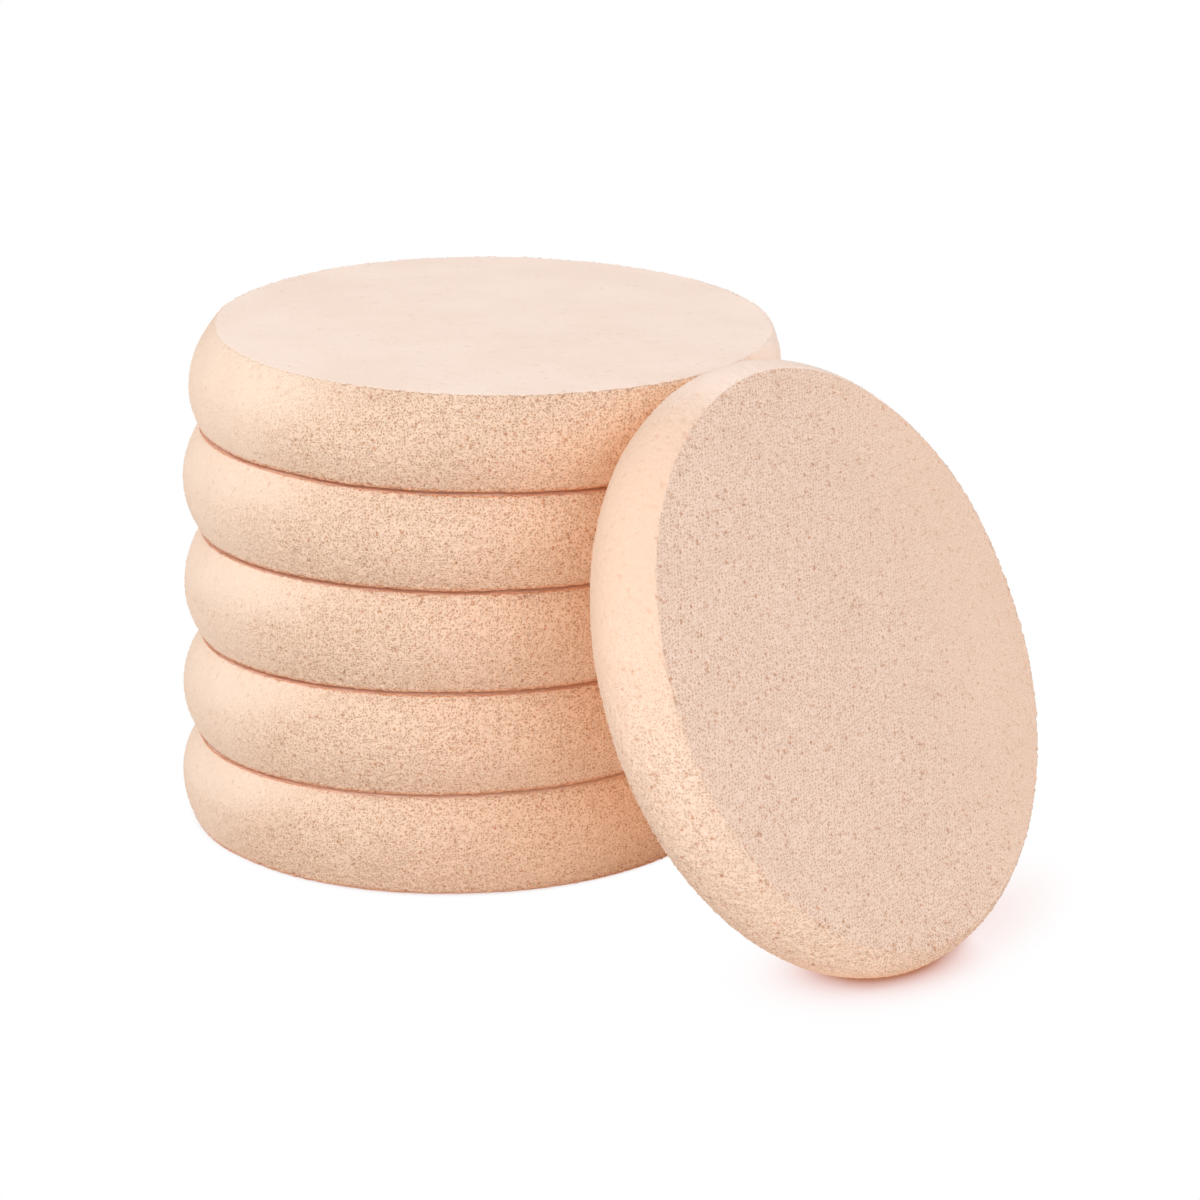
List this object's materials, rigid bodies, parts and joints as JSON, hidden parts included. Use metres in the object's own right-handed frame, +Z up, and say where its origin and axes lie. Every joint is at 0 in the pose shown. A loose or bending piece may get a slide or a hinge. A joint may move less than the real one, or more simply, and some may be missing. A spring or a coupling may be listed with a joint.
{
  "type": "makeup sponge set",
  "caption": "Round foam makeup sponges with flat cut faces and rounded sides, stacked in a settled column with one leaning against it.",
  "frame": {"origin": "centre of the bottom sponge's lower face, on the surface that the set stands on", "axes": "+Z up through the stack, +X to the right and +Y to the back, as seen from the front"},
  "size_m": [0.0882, 0.0925, 0.0555],
  "materials": {
    "stack_foam": "matt fine-celled foam, peach beige",
    "leaning_foam": "matt fine-celled foam, slightly greyer beige"
  },
  "bodies": {
    "bottom": {"bottom_sponge": "stack_foam"},
    "second": {"second_sponge": "stack_foam"},
    "middle": {"middle_sponge": "stack_foam"},
    "fourth": {"fourth_sponge": "stack_foam"},
    "top": {"top_sponge": "stack_foam"},
    "leaning": {"leaning_sponge": "leaning_foam"}
  },
  "joints": [
    {"name": "second_sponge_lift", "type": "slide", "parent": "bottom", "child": "second", "axis": [-0.3896, 0.3011, 0.8704], "range_m": [0, 0.03]},
    {"name": "middle_sponge_lift", "type": "slide", "parent": "second", "child": "middle", "axis": [-0.3896, 0.3011, 0.8704], "range_m": [0, 0.03]},
    {"name": "fourth_sponge_lift", "type": "slide", "parent": "middle", "child": "fourth", "axis": [-0.3896, 0.3011, 0.8704], "range_m": [0, 0.03]},
    {"name": "top_sponge_lift", "type": "slide", "parent": "fourth", "child": "top", "axis": [-0.3896, 0.3011, 0.8704], "range_m": [0, 0.03]},
    {"name": "leaning_sponge_take", "type": "slide", "parent": "bottom", "child": "leaning", "axis": [0.72, -0.5565, 0.4147], "range_m": [0, 0.04]}
  ]
}
